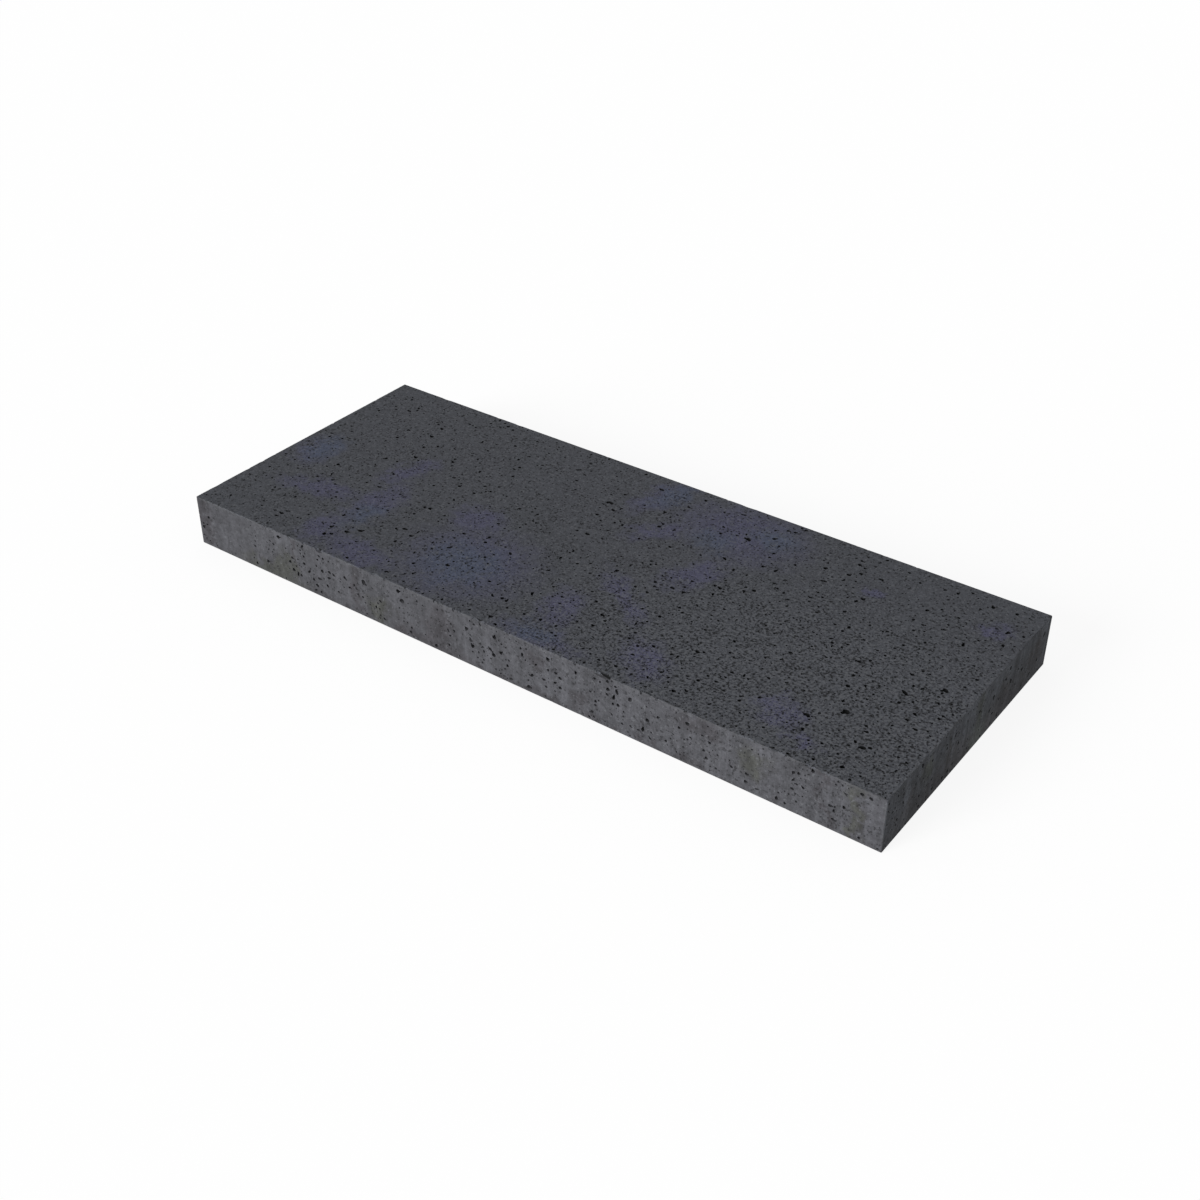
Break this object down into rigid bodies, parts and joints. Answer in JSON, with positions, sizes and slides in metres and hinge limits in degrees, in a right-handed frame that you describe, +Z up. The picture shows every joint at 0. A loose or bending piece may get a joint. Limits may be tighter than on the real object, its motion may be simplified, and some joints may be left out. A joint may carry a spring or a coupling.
{
  "type": "basalt stone slab",
  "caption": "Flat rectangular slab of sawn vesicular basalt, with sharp arrises and open gas pores in every face.",
  "frame": {"origin": "centre of the underside, on the surface that the slab rests on", "axes": "+X along the slab's length, +Y across its width, +Z up through its thickness"},
  "size_m": [1, 0.4, 0.07],
  "materials": {
    "basalt": "sawn, dull, open-pored"
  },
  "bodies": {
    "root": {"basalt_slab": "basalt"}
  },
  "joints": []
}
